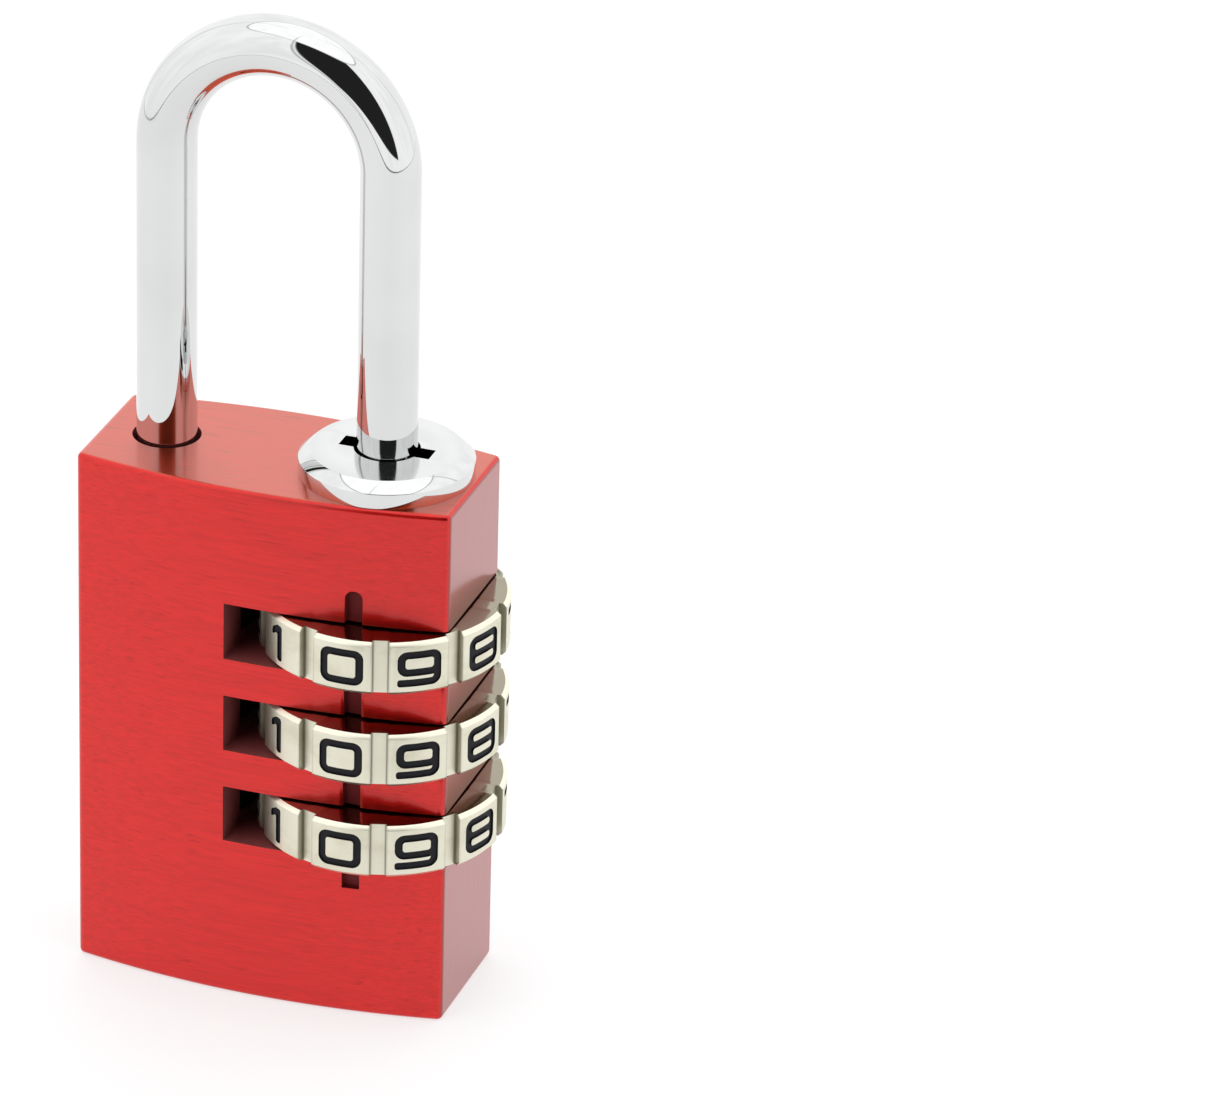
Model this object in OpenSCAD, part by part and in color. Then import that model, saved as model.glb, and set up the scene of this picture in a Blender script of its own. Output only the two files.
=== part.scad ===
// Three-dial combination padlock with a lifting shackle and a settable code.
// The origin is the centre of the body's bottom face, and +Z is up. The index line is on the -Y face,
// the dials stand out of the +X side, and the shackle's long leg runs down through the dials.
// All sizes are in millimetres.

/* [Body] */
// Width of the body
body_w = 20; // [18:0.1:26]
// Height of the body
body_h = 28.8; // [27.2:0.1:36]
// Thickness of the body along its flat sides
body_side_t = 7.7; // [6.4:0.1:9]
// Thickness of the body at the crown of its curved front and back
body_crown_t = 9.9; // [9.3:0.1:13]
// Metal left under the main bore
bore_floor_t = 2; // [1:0.1:2.6]

/* [Dials] */
// Diameter of a dial over its pads
dial_d = 12.8; // [11.2:0.1:15.6]
// Thickness of a dial
dial_t = 2.9; // [2.7:0.1:3.8]
// Height from one dial to the next
dial_pitch = 5.2; // [4.9:0.1:6.3]
// Depth of the top dial's centre below the body's top
dial_drop = 8; // [7.2:0.1:9]
// Distance of the dial axis from the body's side
dial_inset = 4.75; // [4.5:0.05:6]
// Width of the groove between two pads
groove_w = 0.85; // [0.6:0.05:1.2]
// Depth of the groove between two pads
groove_depth = 0.4; // [0.2:0.05:0.6]
// Chamfer on a dial's rims
dial_chamfer = 0.2; // [0.1:0.05:0.4]

/* [Index line] */
// Width of the index line
index_w = 0.9; // [0.5:0.05:1.4]
// Depth of the index line
index_depth = 0.3; // [0.1:0.05:0.5]
// Length of the index line above the top slot
index_above = 1.8; // [0.5:0.1:3]
// Length of the index line below the bottom slot
index_below = 1.6; // [0.5:0.1:3]

/* [Shackle] */
// Diameter of the shackle's rod
shackle_d = 3.1; // [2.6:0.05:3.8]
// Height of the closed shackle above the body
shackle_rise = 23.7; // [18:0.1:40]
// Distance of the toe leg's axis from the body's side
toe_inset = 3.4; // [3:0.1:4.4]
// Depth of the closed toe in the body
toe_depth = 5; // [3.5:0.1:5.6]
// Diameter of the stepped-down toe
toe_d = 2.7; // [2:0.05:2.75]
// Chamfer on the ends of both legs
leg_chamfer = 0.3; // [0.1:0.05:0.5]
// Length of the long leg below its lowest lug
heel_tail = 1.4; // [0.6:0.1:2]

/* [Bush] */
// Width of the flange beyond the main bore
flange_overhang = 1; // [0.8:0.05:1.2]
// Height of the flange
flange_h = 1.3; // [0.8:0.05:2]
// Width of the bevel on the flange
flange_bevel_w = 0.6; // [0.2:0.05:0.7]
// Height of the bevel on the flange
flange_bevel_h = 0.5; // [0.2:0.05:0.7]

/* [Code sleeves] */
// Reach of a lug beyond the shackle's leg
lug_reach = 0.7; // [0.6:0.05:0.9]
// Width of a lug
lug_w = 0.8; // [0.6:0.05:1.2]
// Height of a lug
lug_h = 1.2; // [0.8:0.05:1.4]
// Wall of a code sleeve
sleeve_wall = 0.93; // [0.8:0.01:1]
// Thickness of the web that stops a lug
web_t = 0.9; // [0.6:0.05:1.1]
// Reach of the clutch tooth beyond its sleeve
tooth_reach = 0.62; // [0.4:0.02:0.8]
// Width of the clutch tooth
tooth_w = 1; // [0.8:0.05:1.2]
// Height of the clutch tooth
tooth_h = 1; // [0.7:0.05:1.1]
// Travel that frees the sleeves from the dials when a new code is set
reset_travel = 1.3; // [1.2:0.05:1.4]

/* [Springs] */
// Diameter of the reset spring's wire
wire_d = 0.6; // [0.4:0.05:0.65]
// Rise of one open turn of the reset spring
coil_pitch = 1.35; // [1.1:0.05:2]
// Thickness of the washer under the sleeves
washer_t = 0.5; // [0.3:0.05:0.7]
// Thickness of a detent spring
leaf_t = 0.2; // [0.1:0.02:0.24]
// Height of a detent spring
leaf_h = 2.3; // [1.6:0.1:2.4]
// Length of a detent spring
leaf_l = 4.8; // [3.6:0.1:6]
// Width of a detent spring's crest
crest_w = 0.24; // [0.1:0.02:0.4]
// Depth of the pocket that holds a detent spring
pocket_depth = 0.35; // [0.3:0.05:0.6]

/* [Fits] */
// Radial clearance of what turns or slides in a bore
run_gap = 0.07; // [0.03:0.01:0.1]
// Radial clearance of the shackle's long leg
leg_gap = 0.14; // [0.05:0.01:0.2]
// Clearance above and below a dial in its slot
dial_gap = 0.1; // [0.05:0.01:0.2]
// Clearance between the stacked sleeves
stack_gap = 0.1; // [0.05:0.01:0.15]
// Clearance around a lug in its sleeve, and at each side of a lug in its gate
lug_gap = 0.15; // [0.1:0.01:0.2]
// Clearance around the clutch tooth
tooth_gap = 0.08; // [0.05:0.01:0.1]
// Radial clearance of the toe leg in the body
toe_gap = 0.2; // [0.1:0.01:0.3]
// Space under the closed toe
toe_floor_gap = 0.6; // [0.2:0.1:0.8]
// Clearance between a detent spring and its dial, and around its pocket
leaf_gap = 0.1; // [0.05:0.01:0.15]
// Space between the wire's closed turns
wire_gap = 0.03; // [0.01:0.01:0.05]
// Space between a dial and the end of its slot
slot_end_gap = 0.45; // [0.35:0.01:0.8]
// Free height of a raised lug above the web
raised_gap = 0.55; // [0.2:0.05:1]

/* [Hidden] */

ROUND = 96;        // facets of a drawn circle
CROWN = 720;       // facets of the wide circles of the body's curved faces
EPS = 0.01;        // overlap of joined shapes
OVER = 1;          // how far a cut runs past a face
DIGITS = 10;       // pads on a dial
STEP = 360 / DIGITS;

red = [0.82, 0.17, 0.19];
chrome = [0.86, 0.87, 0.89];
nickel = [0.88, 0.87, 0.78];
brass = [0.80, 0.64, 0.30];
steel = [0.56, 0.58, 0.60];

// Axes of the dials and of the toe leg, and heights of the dials' centres
dial_x = body_w / 2 - dial_inset;
toe_x = toe_inset - body_w / 2;
dial_z = [for (i = [0:2]) body_h - dial_drop - i * dial_pitch];
dial_r = dial_d / 2;
slot_h = dial_t + 2 * dial_gap;
slot_end_x = dial_x - dial_r - slot_end_gap;

// Curved front and back of the body
crown_rise = (body_crown_t - body_side_t) / 2;
crown_r = (pow(body_w / 2, 2) + pow(crown_rise, 2)) / (2 * crown_rise);
function half_t(x) = body_crown_t / 2 - crown_r + sqrt(pow(crown_r, 2) - pow(x, 2));

// Radii from the shackle's leg outwards
leg_r = shackle_d / 2;
leg_hole_r = leg_r + leg_gap;
lug_r = leg_r + lug_reach;
gate_r = lug_r + lug_gap;
cavity_r = gate_r + lug_gap / 2;
sleeve_r = cavity_r + sleeve_wall;
bore_r = sleeve_r + run_gap;
tooth_r = sleeve_r + tooth_reach;
notch_r = tooth_r + tooth_gap;
flange_r = bore_r + flange_overhang;

// Heights of the sleeves, the lugs and the shackle's travel
sleeve_h = dial_pitch - stack_gap;
lug_drop = sleeve_h / 2 + lug_gap;
tooth_top = dial_t / 2 - dial_gap;
counterbore_top = tooth_top - reset_travel + dial_gap;
lift = dial_pitch + web_t + lug_h + lug_gap + raised_gap;
sleeves_top = dial_z[0] + sleeve_h / 2;
sleeves_foot = dial_z[2] - sleeve_h / 2;
ceiling_z = dial_z[0] - lug_drop + lift + lug_gap;
heel_foot = dial_z[2] - lug_drop - lug_h - heel_tail;

// Shackle's arch
leg_spacing = dial_x - toe_x;
arch_r = leg_spacing / 2;
arch_x = (dial_x + toe_x) / 2;
arch_z = body_h + shackle_rise - leg_r - arch_r;
toe_step_z = body_h - toe_gap / 2;
toe_foot = body_h - toe_depth;
toe_hole_r = leg_r + toe_gap;

// Springs
washer_top = sleeves_foot - stack_gap;
washer_foot = washer_top - washer_t;
coil_r = bore_r - run_gap - wire_d / 2;
coil_low = bore_floor_t + wire_d / 2;
coil_high = washer_foot - wire_d / 2;
closed_rise = wire_d + wire_gap;
open_rise = coil_high - coil_low - 2 * closed_rise;
coil_turns = 2 + open_rise / coil_pitch;
coil_steps = 20;
wire_sides = 8;
pocket_x = slot_end_x - pocket_depth;
crest_x = dial_x - dial_r + groove_depth - leaf_gap;
shoulder_x = dial_x - dial_r - leaf_gap;
shoulder_y = groove_w / 2;

module lens_profile() {
    intersection() {
        translate([0, crown_r - body_crown_t / 2]) circle(r = crown_r, $fn = CROWN);
        translate([0, body_crown_t / 2 - crown_r]) circle(r = crown_r, $fn = CROWN);
        square([body_w, 2 * body_crown_t], center = true);
    }
}

module dial_slot(z) {
    slot_w = body_w / 2 - slot_end_x + OVER;
    translate([slot_end_x, -body_crown_t, z - slot_h / 2]) cube([slot_w, 2 * body_crown_t, slot_h]);
    translate([pocket_x, -leaf_l / 2 - leaf_gap, z - leaf_h / 2 - leaf_gap])
        cube([pocket_depth + EPS, leaf_l + 2 * leaf_gap, leaf_h + 2 * leaf_gap]);
}

module index_line() {
    high = dial_z[0] + slot_h / 2 + index_above;
    low = dial_z[2] - slot_h / 2 - index_below;
    floor_y = -half_t(dial_x) + index_depth;
    translate([dial_x - index_w / 2, floor_y - body_crown_t, low])
        cube([index_w, body_crown_t, high - index_w / 2 - low]);
    translate([dial_x, floor_y, high - index_w / 2])
        rotate([90, 0, 0]) cylinder(h = body_crown_t, d = index_w, $fn = ROUND);
}

module sleeve_keyway() {
    low = dial_z[2] - dial_t / 2;
    translate([dial_x - notch_r, -tooth_w / 2 - tooth_gap, low])
        cube([notch_r, tooth_w + 2 * tooth_gap, body_h - low + OVER]);
}

module body() {
    color(red) difference() {
        linear_extrude(height = body_h) lens_profile();
        translate([dial_x, 0, bore_floor_t]) cylinder(h = body_h, r = bore_r, $fn = ROUND);
        sleeve_keyway();
        for (z = dial_z) dial_slot(z);
        index_line();
        translate([toe_x, 0, toe_foot - toe_floor_gap]) cylinder(h = body_h, r = toe_hole_r, $fn = ROUND);
    }
}

module shackle_bush() {
    tube_foot = sleeves_top + stack_gap;
    flange_top = body_h + flange_h;
    bevel_r = flange_r - flange_bevel_w;
    bevel_z = flange_top - flange_bevel_h;
    color(chrome) translate([dial_x, 0, 0]) difference() {
        rotate_extrude($fn = ROUND) polygon([
            [0, tube_foot], [bore_r, tube_foot], [bore_r, body_h], [flange_r, body_h],
            [flange_r, bevel_z], [bevel_r, flange_top], [0, flange_top]
        ]);
        translate([0, 0, tube_foot - OVER]) cylinder(h = ceiling_z - tube_foot + OVER, r = cavity_r, $fn = ROUND);
        translate([0, 0, tube_foot]) cylinder(h = flange_top, r = leg_hole_r, $fn = ROUND);
        translate([-gate_r, -lug_w / 2 - lug_gap, tube_foot])
            cube([2 * gate_r, lug_w + 2 * lug_gap, flange_top]);
    }
}

module leg(x, low, high, r) {
    translate([x, 0, 0]) rotate_extrude($fn = ROUND) polygon([
        [0, low], [r - leg_chamfer, low], [r, low + leg_chamfer], [r, high], [0, high]
    ]);
}

module shackle() {
    color(chrome) union() {
        translate([arch_x, 0, arch_z]) rotate([90, 0, 0])
            rotate_extrude(angle = 180, $fn = ROUND) translate([arch_r, 0]) circle(r = leg_r, $fn = ROUND);
        leg(dial_x, heel_foot, arch_z, leg_r);
        leg(toe_x, toe_foot, toe_step_z + EPS, toe_d / 2);
        translate([toe_x, 0, toe_step_z]) cylinder(h = arch_z - toe_step_z, r = leg_r, $fn = ROUND);
        for (z = dial_z) translate([dial_x - lug_w / 2, 0, z - lug_drop - lug_h]) cube([lug_w, lug_r, lug_h]);
    }
}

module dial(z) {
    notch_w = tooth_w + 2 * tooth_gap;
    groove_r = dial_r - groove_depth;
    color(nickel) translate([dial_x, 0, z]) difference() {
        rotate_extrude($fn = ROUND) polygon([
            [bore_r, -dial_t / 2], [dial_r - dial_chamfer, -dial_t / 2],
            [dial_r, -dial_t / 2 + dial_chamfer], [dial_r, dial_t / 2 - dial_chamfer],
            [dial_r - dial_chamfer, dial_t / 2], [bore_r, dial_t / 2]
        ]);
        translate([0, 0, -dial_t]) cylinder(h = dial_t + counterbore_top, r = notch_r, $fn = ROUND);
        for (i = [0:DIGITS - 1]) {
            rotate(i * STEP) translate([-notch_r, -notch_w / 2, 0]) cube([notch_r, notch_w, dial_t]);
            rotate(i * STEP) translate([groove_r, -groove_w / 2, -dial_t]) cube([dial_r, groove_w, 2 * dial_t]);
        }
    }
}

module code_sleeve(z) {
    color(brass) translate([dial_x, 0, z]) difference() {
        union() {
            translate([0, 0, -sleeve_h / 2]) cylinder(h = sleeve_h, r = sleeve_r, $fn = ROUND);
            translate([-tooth_r, -tooth_w / 2, tooth_top - tooth_h]) cube([tooth_r, tooth_w, tooth_h]);
        }
        translate([0, 0, web_t - sleeve_h / 2]) cylinder(h = sleeve_h, r = cavity_r, $fn = ROUND);
        translate([0, 0, -sleeve_h]) cylinder(h = sleeve_h, r = leg_hole_r, $fn = ROUND);
        translate([-lug_w / 2 - lug_gap, 0, -sleeve_h]) cube([lug_w + 2 * lug_gap, gate_r, sleeve_h]);
    }
}

module detent_spring(z) {
    front = [
        [pocket_x + leaf_t, -leaf_l / 2], [shoulder_x, -shoulder_y], [crest_x, -crest_w / 2],
        [crest_x, crest_w / 2], [shoulder_x, shoulder_y], [pocket_x + leaf_t, leaf_l / 2]
    ];
    back = [for (i = [len(front) - 1:-1:0]) front[i] - [leaf_t, 0]];
    color(steel) translate([0, 0, z - leaf_h / 2]) linear_extrude(height = leaf_h) polygon(concat(front, back));
}

module spring_washer() {
    color(steel) translate([dial_x, 0, washer_foot]) difference() {
        cylinder(h = washer_t, r = sleeve_r, $fn = ROUND);
        translate([0, 0, -OVER]) cylinder(h = washer_t + 2 * OVER, r = gate_r, $fn = ROUND);
    }
}

// Height of the spring's wire after a number of turns: one closed turn at each end and open ones between
function coil_height(turn) =
    turn < 1 ? coil_low + turn * closed_rise :
    turn > coil_turns - 1 ? coil_high - (coil_turns - turn) * closed_rise :
    coil_low + closed_rise + (turn - 1) * coil_pitch;

function wire_point(turn, side) =
    let (a = 360 * turn, s = 360 * side / wire_sides, r = coil_r + wire_d / 2 * cos(s))
    [dial_x + r * cos(a), r * sin(a), coil_height(turn) + wire_d / 2 * sin(s)];

module reset_spring() {
    rings = ceil(coil_turns * coil_steps);
    points = [for (i = [0:rings]) for (j = [0:wire_sides - 1]) wire_point(coil_turns * i / rings, j)];
    sides = [
        for (i = [0:rings - 1]) for (j = [0:wire_sides - 1])
            let (k = (j + 1) % wire_sides, low = i * wire_sides, high = low + wire_sides)
            [low + j, high + j, high + k, low + k]
    ];
    first = [for (j = [0:wire_sides - 1]) j];
    last = [for (j = [wire_sides - 1:-1:0]) rings * wire_sides + j];
    color(steel) polyhedron(points = points, faces = concat(sides, [first], [last]), convexity = 10);
}

body();
shackle_bush();
shackle();
dial(dial_z[0]);  // dial_top
dial(dial_z[1]);  // dial_middle
dial(dial_z[2]);  // dial_bottom
code_sleeve(dial_z[0]);  // code_sleeve_top
code_sleeve(dial_z[1]);  // code_sleeve_middle
code_sleeve(dial_z[2]);  // code_sleeve_bottom
detent_spring(dial_z[0]);  // detent_spring_top
detent_spring(dial_z[1]);  // detent_spring_middle
detent_spring(dial_z[2]);  // detent_spring_bottom
spring_washer();
reset_spring();
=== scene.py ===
"""Detailed pieces, finishes and studio for a three-dial combination padlock, around its packed frame."""

import math

import bmesh
import bpy
from bpy.props import FloatProperty, FloatVectorProperty, IntProperty, PointerProperty
from bpy.types import Operator, Panel, PropertyGroup
from mathutils import Matrix, Quaternion, Vector


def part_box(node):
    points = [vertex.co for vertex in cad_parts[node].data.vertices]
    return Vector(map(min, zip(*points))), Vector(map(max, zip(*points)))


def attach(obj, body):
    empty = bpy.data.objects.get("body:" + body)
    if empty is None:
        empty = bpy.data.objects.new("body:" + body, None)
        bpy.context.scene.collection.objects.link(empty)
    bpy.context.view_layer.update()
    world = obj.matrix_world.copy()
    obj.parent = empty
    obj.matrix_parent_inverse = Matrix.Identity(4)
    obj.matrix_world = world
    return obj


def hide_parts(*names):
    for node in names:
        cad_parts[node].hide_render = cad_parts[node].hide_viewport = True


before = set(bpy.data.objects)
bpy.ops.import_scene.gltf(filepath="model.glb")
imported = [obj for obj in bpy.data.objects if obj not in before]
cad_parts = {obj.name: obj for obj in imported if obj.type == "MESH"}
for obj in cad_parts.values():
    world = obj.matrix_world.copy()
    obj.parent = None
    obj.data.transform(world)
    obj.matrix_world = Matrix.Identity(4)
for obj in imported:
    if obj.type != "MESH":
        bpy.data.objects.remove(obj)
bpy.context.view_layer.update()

bl_info = {
    "name": "Combination padlock",
    "version": (1, 0, 0),
    "blender": (4, 5, 0),
    "location": "3D View > Sidebar > Padlock",
    "description": "Makes the body, shackle, bush and number dials of a combination padlock, and its studio",
    "category": "Object",
}

MM = 0.001
# Points closer than this are merged
WELD = 0.001 * MM
# Places closer than this count as the same
NEAR = 0.01 * MM
# Cutters reach this far past the body
OUT = 12 * MM
# Rounding of the index line's top, as a share of its half width
INDEX_ROUNDING = 0.96
# Height of a ring of points on the shackle's long leg, above its lugs
HEEL_RING = 24 * MM
# Rounding of the bush's edges
BUSH_EDGE = 0.05 * MM
# Height above a dial's centre where its wide bore ends
COUNTERBORE_TOP = 0.15 * MM
# Facets round a hole, the bush and a dial
HOLE_STEPS = 96
BUSH_STEPS = 128
DIAL_STEPS = 180

DIAL_NAMES = ("top", "middle", "bottom")
DIGITS = 10
PAD_STEP = math.tau / DIGITS

BODY_LOW, BODY_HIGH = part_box("body")
SHACKLE_LOW, SHACKLE_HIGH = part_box("shackle")
BUSH_LOW, BUSH_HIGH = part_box("shackle_bush")
DIAL_BOXES = [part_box("dial_" + name) for name in DIAL_NAMES]
DIAL_X = (DIAL_BOXES[0][0].x + DIAL_BOXES[0][1].x) / 2
DIAL_HEIGHTS = [(low.z + high.z) / 2 for low, high in DIAL_BOXES]
DIAL_RADIUS = (DIAL_BOXES[0][1].x - DIAL_BOXES[0][0].x) / 2
DIAL_THICKNESS = DIAL_BOXES[0][1].z - DIAL_BOXES[0][0].z

# Strokes of the ten numbers on a grid of three columns and five rows, from the top row down
DIGIT_ROWS = (
    ("###", "#.#", "#.#", "#.#", "###"),
    ("##.", ".#.", ".#.", ".#.", ".#."),
    ("###", "..#", "###", "#..", "###"),
    ("###", "..#", "###", "..#", "###"),
    ("#.#", "#.#", "###", "..#", "..#"),
    ("###", "#..", "###", "..#", "###"),
    ("###", "#..", "###", "#.#", "###"),
    ("###", "..#", "..#", "..#", "..#"),
    ("###", "#.#", "###", "#.#", "###"),
    ("###", "#.#", "###", "..#", "###"),
)
# Height of the middle bar above the number's centre, in millimetres
DIGIT_WAISTS = {6: 0.2, 9: -0.2, 4: -0.25}
# How far the foot of a number's stem leans to the left, in millimetres
DIGIT_LEANS = {7: 1.0}
# Reach of the flag on the 1, and how far its tip hangs down
FLAG_REACH = 0.5 * MM
FLAG_DROP = 0.3 * MM
# A number's inner corners are tighter than its outer ones by this share of a stroke
INNER_TIGHTER = 0.85
# A side shorter than this many strokes is the end of a stroke, rounded by this share of a stroke
END_LENGTH = 1.2
END_ROUNDING = 0.35
# Most that a corner's rounding takes of a side, so that two never meet
CORNER_SHARE = 0.48
# Width of the strips that let a number bend round its dial
BEND_STEP = 0.3 * MM

# Azimuths and elevations of the tent's dark opening, its bright ceiling's edge and its upright seams
OPENING_SIDES = (math.radians(-9), math.radians(54))
OPENING_HEIGHT = (math.radians(-10), math.radians(55))
CEILING_EDGE = math.radians(56)
UPRIGHT_SEAMS = (math.radians(-118), math.radians(-11), math.radians(128))
# Brightness of the opening, and of what the camera sees behind the lock
OPENING_LIGHT = 0.02
BACKDROP_LIGHT = 1.02


class BodySizes(PropertyGroup):
    """Sizes of the body"""
    side_thickness: FloatProperty(
        name="Side thickness", description="Thickness along the flat sides", default=7.7 * MM, unit="LENGTH")
    edge_radius: FloatProperty(
        name="Edge radius", description="Rounding of the outer edges", default=0.28 * MM, unit="LENGTH")
    slot_edge: FloatProperty(
        name="Slot edge", description="Chamfer on the slots and holes", default=0.05 * MM, unit="LENGTH")
    slot_height: FloatProperty(
        name="Slot height", description="Height of a dial slot", default=3.1 * MM, unit="LENGTH")
    slot_end: FloatProperty(
        name="Slot end", description="X of the inner end of the slots", default=-1.6 * MM, unit="LENGTH")
    pocket_depth: FloatProperty(
        name="Pocket depth", description="Depth of a detent spring's pocket", default=0.35 * MM, unit="LENGTH")
    pocket_width: FloatProperty(
        name="Pocket width", description="Width of a detent spring's pocket", default=5.0 * MM, unit="LENGTH")
    pocket_height: FloatProperty(
        name="Pocket height", description="Height of a detent spring's pocket", default=2.5 * MM, unit="LENGTH")
    bore_radius: FloatProperty(
        name="Bore radius", description="Radius of the main bore", default=3.475 * MM, unit="LENGTH")
    bore_floor: FloatProperty(
        name="Bore floor", description="Height of the main bore's floor", default=2.0 * MM, unit="LENGTH")
    keyway_reach: FloatProperty(
        name="Keyway reach", description="Reach of the keyway from the dial axis", default=4.105 * MM,
        unit="LENGTH")
    keyway_width: FloatProperty(
        name="Keyway width", description="Width of the keyway", default=1.16 * MM, unit="LENGTH")
    toe_radius: FloatProperty(
        name="Toe hole radius", description="Radius of the hole for the toe", default=1.75 * MM, unit="LENGTH")
    toe_floor: FloatProperty(
        name="Toe hole floor", description="Height of the toe hole's floor", default=23.2 * MM, unit="LENGTH")
    index_width: FloatProperty(
        name="Index width", description="Width of the index line", default=0.9 * MM, unit="LENGTH")
    index_depth: FloatProperty(
        name="Index depth", description="Depth of the index line", default=0.3 * MM, unit="LENGTH")
    index_low: FloatProperty(
        name="Index foot", description="Height of the index line's foot", default=7.25 * MM, unit="LENGTH")
    index_high: FloatProperty(
        name="Index top", description="Height of the index line's top", default=24.15 * MM, unit="LENGTH")


class ShackleSizes(PropertyGroup):
    """Sizes of the shackle and its bush"""
    rod_radius: FloatProperty(
        name="Rod radius", description="Radius of the rod", default=1.55 * MM, unit="LENGTH")
    toe_radius: FloatProperty(
        name="Toe radius", description="Radius of the stepped toe", default=1.35 * MM, unit="LENGTH")
    toe_step: FloatProperty(
        name="Toe step", description="Height of the step above the toe", default=28.7 * MM, unit="LENGTH")
    toe_foot: FloatProperty(
        name="Toe foot", description="Height of the toe's end", default=23.8 * MM, unit="LENGTH")
    end_chamfer: FloatProperty(
        name="End chamfer", description="Chamfer on both ends", default=0.3 * MM, unit="LENGTH")
    lug_width: FloatProperty(
        name="Lug width", description="Width of a lug", default=0.8 * MM, unit="LENGTH")
    lug_height: FloatProperty(
        name="Lug height", description="Height of a lug", default=1.2 * MM, unit="LENGTH")
    lug_drop: FloatProperty(
        name="Lug drop", description="Top of a lug below its dial's centre", default=2.7 * MM, unit="LENGTH")
    bevel_width: FloatProperty(
        name="Flange bevel width", description="Width of the flange's bevel", default=0.6 * MM, unit="LENGTH")
    bevel_height: FloatProperty(
        name="Flange bevel height", description="Height of the flange's bevel", default=0.5 * MM, unit="LENGTH")
    hole_radius: FloatProperty(
        name="Bush hole radius", description="Radius of the hole for the leg", default=1.69 * MM, unit="LENGTH")
    cavity_radius: FloatProperty(
        name="Bush cavity radius", description="Radius of the room for a raised lug", default=2.475 * MM,
        unit="LENGTH")
    cavity_top: FloatProperty(
        name="Bush cavity top", description="Height of the cavity's ceiling", default=26.25 * MM, unit="LENGTH")
    notch_reach: FloatProperty(
        name="Notch reach", description="Reach of a notch from the leg's axis", default=2.4 * MM, unit="LENGTH")
    notch_width: FloatProperty(
        name="Notch width", description="Width of a notch", default=1.1 * MM, unit="LENGTH")
    round_steps: IntProperty(
        name="Round steps", description="Facets round the rod", default=96, min=24)


class DialSizes(PropertyGroup):
    """Sizes of a number dial"""
    groove_width: FloatProperty(
        name="Groove width", description="Width between two pads", default=0.85 * MM, unit="LENGTH")
    groove_depth: FloatProperty(
        name="Groove depth", description="Depth between two pads", default=0.4 * MM, unit="LENGTH")
    rim_chamfer: FloatProperty(
        name="Rim chamfer", description="Chamfer on the rims", default=0.2 * MM, unit="LENGTH")
    edge_radius: FloatProperty(
        name="Edge radius", description="Rounding of the pads' edges", default=0.11 * MM, unit="LENGTH")
    number_width: FloatProperty(
        name="Number width", description="Width of a number", default=2.3 * MM, unit="LENGTH")
    number_height: FloatProperty(
        name="Number height", description="Height of a number", default=1.96 * MM, unit="LENGTH")
    stroke: FloatProperty(
        name="Stroke", description="Width of a number's strokes", default=0.41 * MM, unit="LENGTH")
    corner_radius: FloatProperty(
        name="Corner radius", description="Rounding of a number's outer corners", default=0.5 * MM,
        unit="LENGTH")
    engraving: FloatProperty(
        name="Engraving", description="Depth of the numbers", default=0.1 * MM, unit="LENGTH")


class Finishes(PropertyGroup):
    """Colours of the finishes"""
    red: FloatVectorProperty(
        name="Anodised red", description="Colour of the body", subtype="COLOR", size=3,
        min=0, max=1, default=(0.66, 0.013, 0.010))
    chrome: FloatVectorProperty(
        name="Chrome", description="Colour of the shackle and bush", subtype="COLOR", size=3,
        min=0, max=1, default=(0.70, 0.71, 0.705))
    nickel: FloatVectorProperty(
        name="Satin nickel", description="Colour of the dials", subtype="COLOR", size=3,
        min=0, max=1, default=(0.76, 0.74, 0.61))
    paint: FloatVectorProperty(
        name="Number paint", description="Colour of the numbers", subtype="COLOR", size=3,
        min=0, max=1, default=(0.006, 0.006, 0.009))
    brass: FloatVectorProperty(
        name="Sleeve brass", description="Colour of the code sleeves", subtype="COLOR", size=3,
        min=0, max=1, default=(0.70, 0.50, 0.20))
    steel: FloatVectorProperty(
        name="Spring steel", description="Colour of the springs and washer", subtype="COLOR", size=3,
        min=0, max=1, default=(0.16, 0.16, 0.17))


class StageSettings(PropertyGroup):
    """Camera, floor and light"""
    azimuth: FloatProperty(
        name="Azimuth", description="Turn of the camera from the front towards +X",
        default=math.radians(20.486), subtype="ANGLE")
    elevation: FloatProperty(
        name="Elevation", description="Height angle of the camera", default=math.radians(26.003),
        subtype="ANGLE")
    distance: FloatProperty(
        name="Distance", description="Camera to the lock's middle", default=393.19 * MM, unit="LENGTH")
    middle: FloatVectorProperty(
        name="Middle", description="Point that the camera stands round", size=3,
        default=(0.0, 0.0, 26.0 * MM), subtype="TRANSLATION")
    aim: FloatVectorProperty(
        name="Aim", description="Point at the centre of the view", size=3,
        default=(15.603 * MM, 4.845 * MM, 24.109 * MM), subtype="TRANSLATION")
    roll: FloatProperty(
        name="Roll", description="Turn of the camera about its view", default=math.radians(1.636),
        subtype="ANGLE")
    lens: FloatProperty(
        name="Lens", description="Focal length in millimetres for a 36 mm sensor", default=229.01, min=10)
    floor_radius: FloatProperty(
        name="Floor radius", description="Radius of the pale floor", default=0.24, unit="LENGTH")
    floor_back: FloatProperty(
        name="Floor setback", description="Y of the floor's centre", default=0.1, unit="LENGTH")
    floor_hem: FloatProperty(
        name="Floor hem", description="Width of the dark hem round the floor", default=5 * MM, unit="LENGTH")
    tent_light: FloatProperty(
        name="Tent light", description="Brightness of the white surround", default=1.2, min=0)
    floor_glow: FloatProperty(
        name="Floor glow", description="Light that the floor gives of its own", default=0.64, min=0)


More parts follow.
